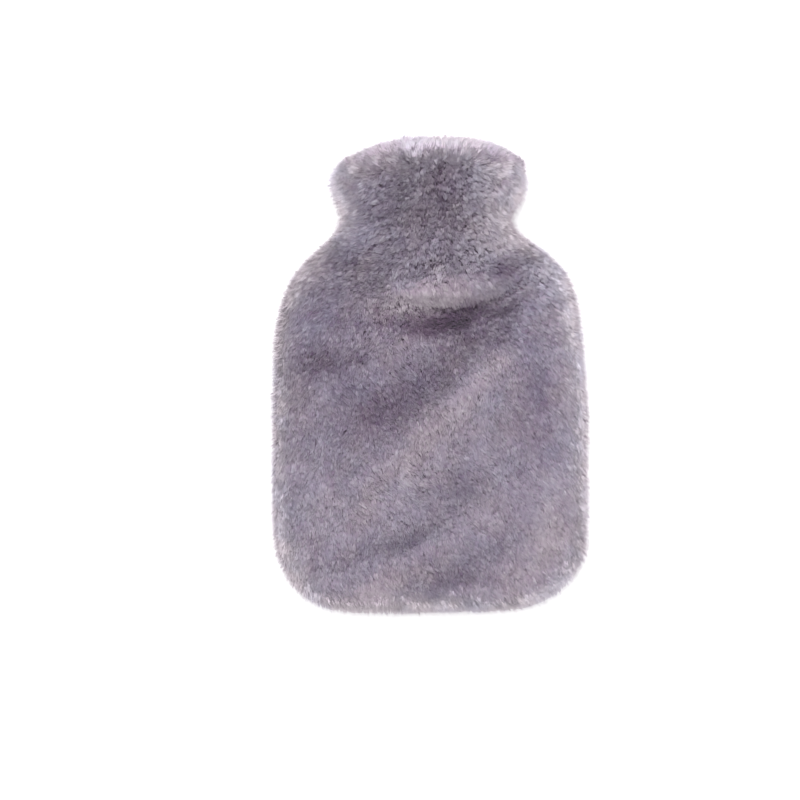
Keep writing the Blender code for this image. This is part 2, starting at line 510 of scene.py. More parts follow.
PATCHES = (
    # the neck: painted shade, darkest right of its middle, where the pile stands up, and painted light
    # at its right and top
    Patch("neck", 0, 124, 50, 34, 0, 0.0, -0.04, 0.1),
    Patch("neck_middle", 8, 134, 12, 22, 0, 0.0, -0.28),
    Patch("neck_foot", 0, 108, 34, 10, 0, 0.1, -0.08),
    Patch("under_the_neck", 0, 86, 16, 8, 0, 0.1, -0.14),
    Patch("neck_top_pale", -10, 156, 28, 10, 0, -0.2, 0.34, 0.2),
    Patch("neck_top_right_pale", 46, 154, 20, 6, -14, -0.2, 0.08, 0.2),
    Patch("neck_top_left", -55, 146, 7, 5, 0, 0.0, -0.20),
    Patch("neck_right_pale", 42, 118, 13, 28, 0, -0.1, 0.36, 0.1),
    Patch("neck_right_top_pale", 40, 141, 10, 9, 0, 0.0, 0.30),
    Patch("right_waist_pale", 47, 87, 20, 8, 34, -0.1, 0.36, 0.2),
    Patch("left_neck_fold", -37, 110, 14, 5, 8, 0.3, -0.20),
    # the shoulders and the fold across them: painted light on the ridge, painted shade in the pocket
    Patch("shoulder_ridge", -3, 51, 38, 9, 9, -0.2, 0.14, 0.8),
    Patch("shoulder_ridge_low", -5, 45, 28, 5, 11, -0.1, 0.18, 0.4),
    Patch("shoulder_pocket", 13, 34, 30, 8, 15, 0.3, -0.86, 0.1),
    Patch("pocket_left", -12, 35, 24, 5, 8, 0.1, -0.32),
    Patch("pocket_top", 30, 43, 12, 5, 24, 0.2, -0.24),
    Patch("pocket_right", 54, 42, 15, 8, 34, 0.4, -0.26),
    Patch("pocket_arm", 26, 22, 18, 8, 18, 0.3, -0.34),
    Patch("pocket_arm_right", 52, 21, 14, 9, 50, 0.2, -0.26),
    Patch("right_shoulder_dark", 52, 71, 22, 7, 10, 0.4, -0.38),
    Patch("right_shoulder_pale", 76, 68, 14, 10, 0, 0.0, 0.20),
    Patch("right_side_pale", 102, 27, 6, 20, 10, 0.0, 0.20),
    Patch("left_shoulder", -54, 76, 30, 9, -2, 0.3, -0.14),
    Patch("left_shoulder_low", -50, 58, 32, 9, 4, 0.3, -0.14),
    Patch("left_upper_side", -68, 36, 24, 8, 4, 0.1, -0.16),
    Patch("left_shoulder_top", -72, 70, 12, 7, 30, 0.0, -0.14),
    # the body: painted shade in its troughs and where the pile stands up, painted light on ridges and edges
    Patch("upper_left", -56, 12, 50, 36, 0, 0.0, -0.20),
    Patch("left_flank", -78, 4, 16, 9, 0, 0.4, -0.18),
    Patch("under_the_pocket_pale", -18, 18, 22, 8, 0, -0.1, 0.12),
    Patch("waist_to_hip_dark", -6, -12, 32, 13, 36, 0.2, -0.26),
    Patch("hip_dark", 4, -35, 11, 9, 40, 0.1, -0.14),
    Patch("waist_to_hip_foot", -42, -36, 32, 16, 36, 0.1, -0.32),
    Patch("waist_to_hip_pale", 18, -30, 64, 10, 44, -0.15, 0.14, 0.5),
    Patch("left_hip_dark", -58, -22, 18, 10, 0, 0.1, -0.10),
    Patch("left_edge_pale", -107, -22, 5, 34, 0, 0.0, 0.34, 0.1),
    Patch("right_flank_blue", 76, -16, 14, 44, 8, 0.1, -0.28, -0.2),
    Patch("right_flank_low", 68, -48, 22, 9, 20, 0.0, -0.12),
    Patch("hip_spot", 24, -82, 14, 12, 0, 0.3, -0.16),
    Patch("right_edge_pale", 100, -40, 7, 26, 0, 0.0, 0.14),
    Patch("right_low_edge_pale", 100, -126, 7, 14, -20, 0.0, 0.16),
    Patch("right_hip_dark", 66, -100, 10, 16, 0, 0.0, -0.12),
    Patch("hem_left_pale", -48, -108, 30, 9, -35, -0.1, 0.06),
    Patch("upper_hem_trough", -22, -122, 28, 8, 14, 0.3, -0.13, -0.1),
    Patch("hem_top_dark", 2, -98, 9, 7, 0, 0.1, -0.14),
    Patch("left_foot_pale", -86, -102, 12, 12, 0, 0.0, 0.20),
    Patch("hip_pale", -8, -77, 20, 8, 30, -0.1, 0.14),
    Patch("hem_ridge", -26, -151, 34, 9, 24, -0.15, 0.14, 0.7),
    Patch("hem_ridge_foot", -8, -136, 22, 5, 24, 0.1, -0.18),
    Patch("hem_trough", 16, -148, 32, 10, 14, 0.3, -0.22),
    Patch("hem_right_pale", 50, -143, 26, 6, 0, -0.1, 0.12),
    Patch("hem_trough_left", 6, -160, 16, 6, 0, 0.2, -0.06),
    Patch("foot_pale", -36, -163, 12, 5, 0, -0.1, 0.20, 0.4),
    Patch("left_foot_dark", -80, -154, 14, 8, -24, 0.0, -0.20),
    Patch("left_low_edge_pale", -106, -104, 6, 34, 0, -0.1, 0.16, 0.1),
    Patch("right_hip_pale", 84, -108, 12, 36, -10, -0.15, 0.19, 0.3),
    Patch("warm_tuft", 65.6, 124, 3, 3, 0, 0.0, -0.1, 2.0),
)


@dataclass(frozen=True)
class Rim:
    """How the pile thins out along the outline, about one place of it, in millimetres.

    The width is how far inside the outline the pile is painted lighter, and the tone how much
    lighter it is at the outline itself: painted light for the light that the thin ends let through.
    The hang is how far the longest hairs stand out past the solid, and the soft how far back from
    their ends the others end. The thinness is above 1 for fewer long ones.
    """

    x: float
    y: float
    width: float
    tone: float
    hang: float
    soft: float
    thinness: float
    reach: float = 20.0


# each rim's tone is painted light along the outline, for the light that the thin ends let through
RIMS = (
    Rim(-112, 0, 4.8, 0.47, 8.0, 7.5, 3), Rim(-112, -80, 5.0, 0.46, 5.4, 7.5, 3),
    Rim(-98, -142, 8.0, 0.54, 7.6, 8, 3), Rim(-34, -166, 6.0, 0.50, 4.8, 6, 3),
    Rim(-6, -168, 5.5, 0.36, 4.8, 6, 3), Rim(28, -167, 7.5, 0.56, 4.8, 6, 3),
    Rim(54, -166, 6.0, 0.54, 4.8, 6, 3), Rim(76, -160, 6.0, 0.34, 5.4, 7, 3),
    Rim(98, -143, 5.5, 0.44, 8.2, 8, 3), Rim(113, -90, 7.0, 0.58, 5.0, 8, 3),
    Rim(113, -20, 7.0, 0.60, 5.8, 8, 3), Rim(104, 50, 7.0, 0.60, 8.0, 8, 3),
    Rim(84, 84, 8.0, 0.58, 5.4, 7.5, 3), Rim(-86, 80, 7.0, 0.56, 7.2, 7, 3),
    Rim(-104, 45, 6.0, 0.49, 9.0, 7.5, 3), Rim(-62, 106, 7.5, 0.48, 3.0, 6.5, 4, 12),
    Rim(58, 106, 8.0, 0.54, 5.0, 6.5, 4, 12), Rim(-68, 124, 6.5, 0.42, 11.0, 8, 3, 10),
    Rim(-70, 134, 7.5, 0.48, 9.4, 9.5, 4, 12), Rim(-60, 152, 7.0, 0.34, 9.0, 10, 4, 12),
    Rim(-36, 161, 8.5, 0.47, 5.8, 10, 4, 12), Rim(0, 168, 10.0, 0.52, 6.6, 10, 4, 12),
    Rim(34, 165, 10.0, 0.52, 4.2, 10, 4, 12), Rim(60, 154, 7.0, 0.42, 6.4, 10, 4, 12),
    Rim(68, 134, 8.0, 0.52, 9.4, 9.5, 4, 12),
)

NO_ROW_NEAR = 1e-12


def row_shares(points: np.ndarray, rows: tuple[Lay, ...] | tuple[Rim, ...]) -> np.ndarray:
    """Works out how much each row of a table counts at each of some points.

    Args:
        points: the places.
        rows: the table's rows, each with its place and reach.

    Returns:
        The shares of all rows for each point, which add up to 1.
    """
    places = np.array([(row.x, row.y) for row in rows])
    reaches = np.array([row.reach for row in rows])
    away = ((points[:, None, :2] - places) ** 2).sum(2)
    shares = np.exp(-away / (2.0 * reaches ** 2)) + NO_ROW_NEAR
    return shares / shares.sum(1, keepdims=True)


@dataclass
class Fall:
    """How the pile falls at each of some points.

    The comb is its way along the surface, the lean is in degrees, and the tone and the warmth are
    as in a patch; the tone holds random differences as well as painted shade and painted light. Sunk
    is how far its tips are below the outer surface, against the rest.
    """

    comb: np.ndarray
    lean: np.ndarray
    tone: np.ndarray
    warmth: np.ndarray
    sunk: np.ndarray


@dataclass
class Edge:
    """How the pile thins out at each of some points, as in a rim.

    Near is 1 on the outline and 0 far inside it; the tone that this leaves is painted light at the outline.
    """

    near: np.ndarray
    # painted light along the outline
    painted_rim_light: np.ndarray
    hang: np.ndarray
    soft: np.ndarray
    thinness: np.ndarray


class PileLay:
    """The way that the whole face's pile lies, from the rows of lays and patches.

    It is ragged on the neck and the shoulders and smooth towards the foot.
    """

    RAGGED = Ramp(-40.0, 100.0)
    STRAYING = Ramp(20.0, 70.0, 1.0, 0.5)
    PATCHED = Ramp(-0.1, 0.1)
    CROSSED_LEAN = 0.55
    # painted shade where the grain sinks the tips, painted light where it raises them
    GRAIN_PAINTED_SHADING = 0.17
    # how strong the patches' painted shade and painted light are
    PATCH_PAINTED_SHADING = 0.68
    EVEN_WARMTH = 0.5
    EDGE_POWER = 1.3

    def __init__(self) -> None:
        """Makes the slow random fields that the tables leave open, with angles in degrees."""
        self.turns = (Drift(34.0, 10.8, seed=11), Drift(11.0, 6.0, seed=12))
        self.lifting = Drift(22.0, 3.6, seed=13)
        self.tones = (Drift(26.0, 0.024, seed=14), Drift(9.0, 0.024, seed=15))
        self.hues = (Drift(44.0, 0.12, seed=16), Drift(15.0, 0.06, seed=17))
        self.grain = Drift(4.4, 0.6, seed=18)

    def at(self, points: np.ndarray, normals: np.ndarray) -> Fall:
        """Works out how the pile falls.

        Args:
            points: places on the surface of the tips.
            normals: the surface's normals there.

        Returns:
            How it falls at each place.
        """
        comb, lean = self._combed(points, normals)
        ragged = self.RAGGED.at(points[:, 1])
        grain = self.grain.at(points) * ragged
        # random tone, plus the grain's painted shade and painted light
        tone = sum(drift.at(points) for drift in self.tones) + self.GRAIN_PAINTED_SHADING * grain
        warmth = self.EVEN_WARMTH + sum(drift.at(points) for drift in self.hues)
        for patch in PATCHES:
            share = patch.at(points) * self.PATCHED.at(normals[:, 2])
            lean = lean * (1.0 - patch.stand * share)
            # the patch's painted shade or painted light
            tone = tone + self.PATCH_PAINTED_SHADING * patch.tone * share
            warmth = warmth + patch.warmth * share
            LOG.debug("patch %s counts up to %.2f", patch.name, share.max())
        return Fall(comb, lean, tone, warmth, ragged - grain)

    def _combed(self, points: np.ndarray, normals: np.ndarray) -> tuple[np.ndarray, np.ndarray]:
        """Works out the way that the pile is combed, from the rows of lays.

        Args:
            points: places on the surface of the tips.
            normals: the surface's normals there.

        Returns:
            The way along the surface and the lean at each place. Where ways cross it leans less.
        """
        shares = row_shares(points, LAYS)
        headings = np.radians([lay.heading for lay in LAYS])
        way = shares @ np.stack([np.sin(headings), -np.cos(headings)], axis=1)
        steady = np.linalg.norm(way, axis=1)
        lean = shares @ np.array([lay.lean for lay in LAYS]) * blend(self.CROSSED_LEAN, 1.0, steady)
        turn = np.radians(sum(drift.at(points) for drift in self.turns) * self.STRAYING.at(points[:, 0]))
        x, y = unit(way).T
        turned = np.stack([x * np.cos(turn) - y * np.sin(turn), x * np.sin(turn) + y * np.cos(turn),
                           np.zeros(len(points))], axis=1)
        return unit(flattened(turned, normals)), lean + self.lifting.at(points)

    def edge(self, points: np.ndarray, inward: np.ndarray) -> Edge:
        """Works out how the pile thins out towards the outline.

        Args:
            points: places on the surface of the tips.
            inward: how far inside the outline each is.

        Returns:
            What the rows of rims give at each place.
        """
        rows = np.array([(rim.width, rim.tone, rim.hang, rim.soft, rim.thinness) for rim in RIMS])
        width, tone, hang, soft, thinness = (row_shares(points, RIMS) @ rows).T
        near = np.exp(-(inward / width) ** self.EDGE_POWER)
        # the tone near the outline is painted light
        return Edge(near, near * tone, hang, soft, thinness)


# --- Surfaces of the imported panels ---


class Side(Enum):
    """The two panels of the cover, each with its node in the frame and the way that it faces."""

    FRONT = ("front_panel", 1.0)
    BACK = ("back_panel", -1.0)

    @property
    def node(self) -> str:
        """The panel's node."""
        return self.value[0]

    @property
    def facing(self) -> float:
        """1 where the panel's pile faces up, and -1 where it faces down."""
        return self.value[1]


class Skin:
    """A surface of triangles, in millimetres, with smooth normals."""

    LEVEL = 0.999
    UPRIGHT = 0.15
    SEAM_MARGIN = 0.5
    MIDDLE_LINE = 100.0

    def __init__(self, points: np.ndarray, triangles: np.ndarray) -> None:
        """Takes the surface.

        Args:
            points: its points.
            triangles: the three points of each of its triangles.
        """
        self.points = points
        self.triangles = triangles
        a, b, c = (points[triangles[:, i]] for i in range(3))
        cross = np.cross(b - a, c - a)
        self.areas = np.linalg.norm(cross, axis=1) / 2.0
        self.facing = unit(cross)
        self.centres = (a + b + c) / 3.0
        normals = np.zeros_like(points)
        for i in range(3):
            np.add.at(normals, triangles[:, i], cross)
        self.normals = unit(normals)

    @classmethod
    def of_node(cls, node: str) -> "Skin":
        """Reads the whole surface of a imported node.

        Args:
            node: the node's name.

        Returns:
            Its surface, with its points welded.
        """
        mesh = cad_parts[node].data
        mesh.calc_loop_triangles()
        points = np.empty(len(mesh.vertices) * 3, np.float32)
        mesh.vertices.foreach_get("co", points)
        triangles = np.empty(len(mesh.loop_triangles) * 3, np.int32)
        mesh.loop_triangles.foreach_get("vertices", triangles)
        places, same = np.unique(np.round(points.reshape(-1, 3) / WELD).astype(np.int64), axis=0,
                                 return_inverse=True)
        return cls(places * WELD / MM, same.reshape(-1)[triangles.reshape(-1, 3)])

    def part(self, wanted: np.ndarray) -> "Skin":
        """The surface of some of its triangles."""
        used, triangles = np.unique(self.triangles[wanted], return_inverse=True)
        return Skin(self.points[used], triangles.reshape(-1, 3))

    def on_seam(self) -> np.ndarray:
        """Which triangles lie on the plane of the seam, where the two panels meet."""
        level = np.abs(self.facing[:, 2]) > self.LEVEL
        return level & (np.abs(self.centres[:, 2] - SEAM_HEIGHT) < self.SEAM_MARGIN)

    def past_hem(self) -> np.ndarray:
        """Which triangles lie past the hem, where only pile is."""
        return self.centres[:, 1] > hem_edge(self.centres[:, 0])

    def faces_out(self, side: Side) -> np.ndarray:
        """Which triangles face away from the bottle's room.

        Args:
            side: the panel, whose face tells it except where the surface stands upright.

        Returns:
            True for each triangle that does.
        """
        middle = np.clip(self.centres[:, 1], -self.MIDDLE_LINE, self.MIDDLE_LINE)
        away = self.facing[:, 0] * self.centres[:, 0] + self.facing[:, 1] * (self.centres[:, 1] - middle)
        out = self.facing[:, 2] * side.facing
        return np.where(np.abs(out) < self.UPRIGHT, away > 0.0, out > 0.0)

    def outside(self, side: Side) -> "Skin":
        """The surface that the tips of a panel's pile reach."""
        return self.part(~self.on_seam() & (self.faces_out(side) | self.past_hem()))

    def inside(self, side: Side) -> "Skin":
        """The surface round the bottle's room, which the back of a panel's cloth follows."""
        return self.part(~self.on_seam() & ~self.faces_out(side))

    def scatter(self, count: int, density: np.ndarray,
                rng: np.random.Generator) -> tuple[np.ndarray, np.ndarray]:
        """Points spread at random over the surface.

        Args:
            count: how many points.
            density: how close they lie on each triangle.
            rng: where the random numbers come from.

        Returns:
            The points and the smooth normals there.
        """
        share = self.areas * density
        pick = rng.choice(len(share), count, p=share / share.sum())
        u, v = rng.random((2, count, 1))
        u, v = np.where(u + v > 1.0, 1.0 - u, u), np.where(u + v > 1.0, 1.0 - v, v)
        corners = self.triangles[pick]
        weights = (1.0 - u - v, u, v)
        points = sum(w * self.points[corners[:, i]] for i, w in enumerate(weights))
        normals = sum(w * self.normals[corners[:, i]] for i, w in enumerate(weights))
        return points, unit(normals)


def kd_tree(points: np.ndarray) -> KDTree:
    """Sorts points into a tree.

    Args:
        points: the points.

    Returns:
        A tree that finds those near a place.
    """
    tree = KDTree(len(points))
    for index, point in enumerate(points.tolist()):
        tree.insert(point, index)
    tree.balance()
    return tree


def thinned(points: np.ndarray, gap: float) -> np.ndarray:
    """Which of some points to keep so that none lies nearer to another than a gap.

    Args:
        points: the places, the first ones kept first.
        gap: the least distance between two that are kept.

    Returns:
        The places in the list of those that are kept.
    """
    tree = kd_tree(points)
    free = np.ones(len(points), bool)
    kept = []
    for index, point in enumerate(points.tolist()):
        if free[index]:
            kept.append(index)
            for _, near, _ in tree.find_range(point, gap):
                free[near] = False
    return np.array(kept)


def new_object(name: str, data: bpy.types.ID) -> bpy.types.Object:
    """Puts an object into the scene.

    Args:
        name: its name.
        data: its mesh, camera or light.

    Returns:
        The object.
    """
    made = bpy.data.objects.new(name, data)
    bpy.context.scene.collection.objects.link(made)
    return made


# --- The backing cloth ---


@dataclass
class BackingCloth:
    """The knitted cloth of one panel, with the short underwool on its outer side."""

    side: Side
    name: str
    thickness: float = 2.2
    fine_edge: float = 4.0
    knit: KnitFinish = field(default_factory=KnitFinish)
    underwool: UnderwoolFinish = field(default_factory=UnderwoolFinish)

    REFININGS = 2
    SMOOTHINGS = 6
    HEM_REACH = 2.0
    OUTER_FACING = 0.05

    def build(self) -> bpy.types.Object:
        """Makes the cloth on the room's surface, cut along the hem.

        Returns:
            The cloth's object.
        """
        skin = Skin.of_node(self.side.node).inside(self.side)
        mesh = bpy.data.meshes.new(self.name)
        mesh.from_pydata((skin.points * MM).tolist(), [], skin.triangles.tolist())
        sheet = bmesh.new()
        sheet.from_mesh(mesh)
        self._refine(sheet)
        self._cut_hem(sheet)
        self._relax(sheet)
        for face in sheet.faces:
            face.smooth = True
        sheet.to_mesh(mesh)
        sheet.free()
        made = new_object(self.name, mesh)
        self._thicken(made)
        return made

    def _refine(self, sheet: bmesh.types.BMesh) -> None:
        """Splits the long edges, so that the sheet can bend.

        Args:
            sheet: the sheet.
        """
        for _ in range(self.REFININGS):
            long = [e for e in sheet.edges if e.calc_length() > self.fine_edge * MM]
            bmesh.ops.subdivide_edges(sheet, edges=long, cuts=1, use_grid_fill=False)
            bmesh.ops.triangulate(sheet, faces=sheet.faces[:])

    def _cut_hem(self, sheet: bmesh.types.BMesh) -> None:
        """Takes away what lies past the hem and draws the edge onto it.

        Args:
            sheet: the sheet.
        """
        past = [f for f in sheet.faces
                if f.calc_center_median().y / MM > hem_edge(f.calc_center_median().x / MM)]
        bmesh.ops.delete(sheet, geom=past, context="FACES")
        for vertex in sheet.verts:
            edge = hem_edge(vertex.co.x / MM) * MM
            if vertex.co.y > edge or (vertex.is_boundary and vertex.co.y > edge - self.HEM_REACH * MM):
                vertex.co.y = edge

    def _relax(self, sheet: bmesh.types.BMesh) -> None:
        """Smooths the sheet away from its edges.

        Args:
            sheet: the sheet.
        """
        inner = [v for v in sheet.verts if not v.is_boundary]
        for _ in range(self.SMOOTHINGS):
            bmesh.ops.smooth_vert(sheet, verts=inner, factor=0.5, use_axis_x=False, use_axis_y=False,
                                  use_axis_z=True)

    def _thicken(self, made: bpy.types.Object) -> None:
        """Gives the sheet its thickness, away from the room, and its two finishes.

        Args:
            made: the sheet's object.
        """
        solid = made.modifiers.new("thickness", "SOLIDIFY")
        solid.thickness = self.thickness * MM
        solid.offset = -1.0
        solid.material_offset = 1
        solid.material_offset_rim = 1
        made.data.materials.append(self.knit.material())
        made.data.materials.append(self.underwool.material())

    def tree(self, made: bpy.types.Object) -> BVHTree:
        """The cloth's outer side, as a tree that finds the point nearest to another.

        Args:
            made: the cloth's object.

        Returns:
            The tree, in millimetres.
        """
        bpy.context.view_layer.update()
        shown = made.evaluated_get(bpy.context.evaluated_depsgraph_get())
        mesh = shown.to_mesh()
        points = [tuple(v.co / MM) for v in mesh.vertices]
        faces = [tuple(p.vertices) for p in mesh.polygons
                 if p.normal.z * self.side.facing > self.OUTER_FACING]
        tree = BVHTree.FromPolygons(points, faces)
        shown.to_mesh_clear()
        return tree


# --- The pile ---


@dataclass(frozen=True)
class Chance:
    """How far the tufts, and the fibres in them, differ from each other at random.

    Turns, leans and the roll are in degrees, the step and the crossing in millimetres, and the
    ranges are factors. The jostle is a share of the gap between tufts, and the gathering a share
    of a tip's way to the middle of its tuft.
    """

    jostle: float = 0.22
    tuft_turn: float = 8.0
    fibre_turn: float = 7.0
    tuft_lean: float = 4.0
    fibre_lean: float = 4.0
    tip_range: tuple[float, float] = (0.75, 1.25)
    gathering: float = 0.3
    tuft_step: float = 0.42
    crossing: float = 2.2
    roll: float = 24.0
    width_range: tuple[float, float] = (0.7, 1.3)
    tuft_tone: float = 0.055
    fibre_tone: float = 0.02
    tuft_hue: float = 0.06
    fibre_hue: float = 0.03


@dataclass
class Tufts:
    """The tufts of a pile, and how each of its fibres stands in them.

    Each fibre has the place of its tip on the outer surface, the surface's normal there and its
    tuft. Each tuft has its middle, and how the pile falls and thins out there. The slope is 0 where
    a fibre's surface faces the way of its panel, and 1 where it is upright. The rim is 1 for a
    fibre on the steep side, the level 1 for one on a level face, and the pressed 1 for one that
    the cover lies on.
    """

    tips: np.ndarray
    normals: np.ndarray
    tuft: np.ndarray
    middles: np.ndarray
    fall: Fall
    edge: Edge
    slope: np.ndarray
    rim: np.ndarray
    level: np.ndarray
    pressed: np.ndarray


@dataclass
class Pile:
    """The long fibres of one panel, in tufts, as narrow strips of two triangles.

    The tips are spread over the panel's outer surface, and each strip runs back from there to the
    cloth, first along the lie of the pile and then more upright. Where the cover lies on its pile
    the fibres have the flat sizes. The soft top is how far back fibres end on the face, and the
    brightest the palest shade away from the outline.
    """

    side: Side
    name: str
    count: int
    pieces: int
    seed: int
    depth: float = 9.8
    flat_depth: float = 9.8
    tuft_gap: float = 1.4
    width: float = 0.80
    flat_width: float = 0.70
    rim_density: float = 1.4
    flat_density: float = 1.0
    tip_length: float = 4.4
    longest_foot: float = 12.0
    longest: float = 15.0
    upright_share: float = 0.42
    soft_top: float = 0.7
    brightest: float = 0.76
    chance: Chance = field(default_factory=Chance)
    finish: PileFinish = field(default_factory=PileFinish)

    QUICK_SHARE = 3
    SPARE_TUFTS = 3.0
    OUTLINE_POINTS = 9000
    STEEP = 0.35
    ON_FLOOR = (1.0, 1.0, 0.0)
    SIDE_FACES = Ramp(0.2, 0.6)
    LEVEL_FACES = Ramp(0.9, 0.99)
    LEVEL = Ramp(0.9, 0.995)
    RIM = Ramp(0.2, 0.9)

    LEANS = (5.0, 82.0)
    PRESSED_LEAN = 84.0
    RIM_STIR = 0.6
    SHORTEST_FOOT = 2.0
    SOFTENING = Ramp(0.25, 0.95)
    TOP_THINNESS = 1.7
    SINKING = 0.9
    RIM_FREEDOM = 0.8
    LEAST_COSINE = 0.35
    BEND_GATHERING = 0.45
    BEND_BACK = 0.55
    SEAM_REACH = 4.0
    FLOOR_GAP = 0.05

    ROLLING = Ramp(30.0, 60.0, 1.0, 0.4)
    RIM_NARROWING = Ramp(100.0, 145.0, 0.45, 0.6)
    NECK_WIDTH = Ramp(55.0, 100.0, 1.0, 0.7)

    TUFT_CONTRAST = Ramp(30.0, 60.0, 1.6, 1.1)
    EDGE_EVENNESS = 0.6
    MIDDLE_SHADE = 0.5
    # painted light at the outline: more on the steep side, less low down
    RIM_PAINTED_LIGHT = 0.3
    LOW_PAINTED_LIGHT = Ramp(4.0, 22.0, 0.3, 1.0)
    EDGE_WARMTH = 0.3
    SHADES = (0.02, 0.98)
    HUES = (0.0, 0.999)

    CORNERS = 4
    TRIANGLES = ((0, 2, 1), (1, 2, 3))
    ALONG = (0.0, 0.5, 0.5, 1.0)
    ACROSS = (0.0, -1.0, 1.0, 0.0)
    HUE_BANDS = 8
    SHADE_SPAN = (0.08, 0.92)
    ALONG_SPAN = (0.02, 0.98)
    STRIP_HALF = 1.0 / 1024.0

    def build(self, cloth: BVHTree) -> list[bpy.types.Object]:
        """Grows the pile and writes it as a few joined meshes.

        Args:
            cloth: the outer side of the cloth that the pile is rooted in.

        Returns:
            The pieces, from the foot of the cover to its mouth.
        """
        rng = np.random.default_rng(self.seed)
        count = self.count
        skin = Skin.of_node(self.side.node).outside(self.side)
        density = blend(self.rim_density, 1.0, self.SIDE_FACES.at(np.abs(skin.facing[:, 2])))
        if self.side is Side.BACK:
            level = self.LEVEL_FACES.at(skin.facing[:, 2] * self.side.facing)
            density = blend(density, self.flat_density, level)
        tips, normals = skin.scatter(count, density, rng)
        tufts = self._tufts(skin, tips, normals, rng)
        return self._write(self._grow(tufts, cloth, rng))

    def _tufts(self, skin: Skin, tips: np.ndarray, normals: np.ndarray,
               rng: np.random.Generator) -> Tufts:
        """Shares the fibres out among tufts.

        Args:
            skin: the surface of the tips.
            tips: where the fibres would end on it.
            normals: the surface's normals there.
            rng: where the random numbers come from.

        Returns:
            The tufts.
        """
        many = int(skin.areas.sum() / self.tuft_gap ** 2 * self.SPARE_TUFTS)
        middles, middle_normals = skin.scatter(many, np.ones(len(skin.areas)), rng)
        kept = thinned(middles, self.tuft_gap)
        middles, middle_normals = middles[kept], middle_normals[kept]
        tree = kd_tree(middles)
        jostled = tips + rng.normal(0.0, self.tuft_gap * self.chance.jostle, tips.shape)
        tuft = np.fromiter((tree.find(tip)[1] for tip in jostled.tolist()), int, len(tips))
        inward = self._inward(skin, middles, rng)
        slope = 1.0 - normals[:, 2] * self.side.facing
        level = self.LEVEL.at(1.0 - slope)
        lay = PileLay()
        return Tufts(
            tips, normals, tuft, middles, lay.at(middles, middle_normals), lay.edge(middles, inward),
            slope, rim=self.RIM.at(slope), level=level,
            pressed=level if self.side is Side.BACK else np.zeros(len(tips)),
        )

    def _inward(self, skin: Skin, places: np.ndarray, rng: np.random.Generator) -> np.ndarray:
        """How far inside the cover's outline some places are.

        Args:
            skin: the surface of the tips, whose steep sides make the outline seen from above.
            places: the places.
            rng: where the random numbers come from.

        Returns:
            The distance of each, in millimetres.
        """
        steep = (np.abs(skin.facing[:, 2]) < self.STEEP).astype(float)
        outline, _ = skin.scatter(self.OUTLINE_POINTS, steep, rng)
        tree = kd_tree(outline * self.ON_FLOOR)
        return np.array([tree.find(place)[2] for place in (places * self.ON_FLOOR).tolist()])

    def _grow(self, tufts: Tufts, cloth: BVHTree, rng: np.random.Generator) -> dict[str, np.ndarray]:
        """Works out each fibre.

        Args:
            tufts: the tufts.
            cloth: the outer side of the cloth.
            rng: where the random numbers come from.

        Returns:
            Each fibre's root, bend and end, half of its width sideways, its shade and its hue.
        """
        comb = self._combs(tufts, rng)
        roots, bends, ends = self._spines(tufts, comb, cloth, rng)
        side = self._half_widths(tufts, comb, unit(ends - bends), rng)
        shade, hue = self._colours(tufts, rng)
        kept = np.linalg.norm(bends - roots, axis=1) < self.longest
        LOG.info("%s: %d of %d fibres are too long and left out", self.name, (~kept).sum(), len(kept))
        strips = {"root": roots, "bend": bends, "end": ends, "side": side, "shade": shade, "hue": hue}
        return {key: values[kept] for key, values in strips.items()}

    def _combs(self, tufts: Tufts, rng: np.random.Generator) -> np.ndarray:
        """Works out the way that each fibre is combed along the surface.

        Args:
            tufts: the tufts.
            rng: where the random numbers come from.

        Returns:
            The ways.
        """
        turn = rng.normal(0.0, self.chance.tuft_turn, len(tufts.middles))[tufts.tuft]
        turn = turn * (1.0 - self.RIM_STIR * tufts.rim)
        stray = rng.normal(0.0, self.chance.fibre_turn, len(tufts.tips))
        turn = np.radians(turn + stray * (1.0 + self.RIM_STIR * tufts.rim))
        comb = unit(flattened(tufts.fall.comb[tufts.tuft], tufts.normals))
        return tipped(comb, np.cross(comb, tufts.normals), turn)

    def _spines(self, tufts: Tufts, comb: np.ndarray, cloth: BVHTree,
                rng: np.random.Generator) -> tuple[np.ndarray, np.ndarray, np.ndarray]:
        """Works out the middle line of each fibre.

        Args:
            tufts: the tufts.
            comb: the way that each fibre is combed.
            cloth: the outer side of the cloth.
            rng: where the random numbers come from.

        Returns:
            Where each fibre is rooted, where it bends and where it ends.
        """
        chance, tips, normals, tuft = self.chance, tufts.tips, tufts.normals, tufts.tuft
        lean = (tufts.fall.lean + rng.normal(0.0, chance.tuft_lean, len(tufts.middles)))[tuft]
        lean = np.clip(lean + rng.normal(0.0, chance.fibre_lean, len(tips)), *self.LEANS)
        lean = blend(lean, self.PRESSED_LEAN, tufts.pressed)
        end_lean = np.radians(lean)
        foot_lean = np.radians(lean * self.upright_share)
        end_way = tipped(normals, comb, end_lean)
        depth = blend(self.depth, self.flat_depth, tufts.pressed)
        end_length = self.tip_length * rng.uniform(*chance.tip_range, len(tips))
        foot_length = (depth - end_length * np.cos(end_lean)) / np.cos(foot_lean)
        foot_length = np.clip(foot_length, self.SHORTEST_FOOT, self.longest_foot)
        bends = tips - end_way * end_length[:, None]
        feet = bends - tipped(normals, comb, foot_lean) * foot_length[:, None]
        roots = np.array([cloth.find_nearest(foot)[0] for foot in feet.tolist()])

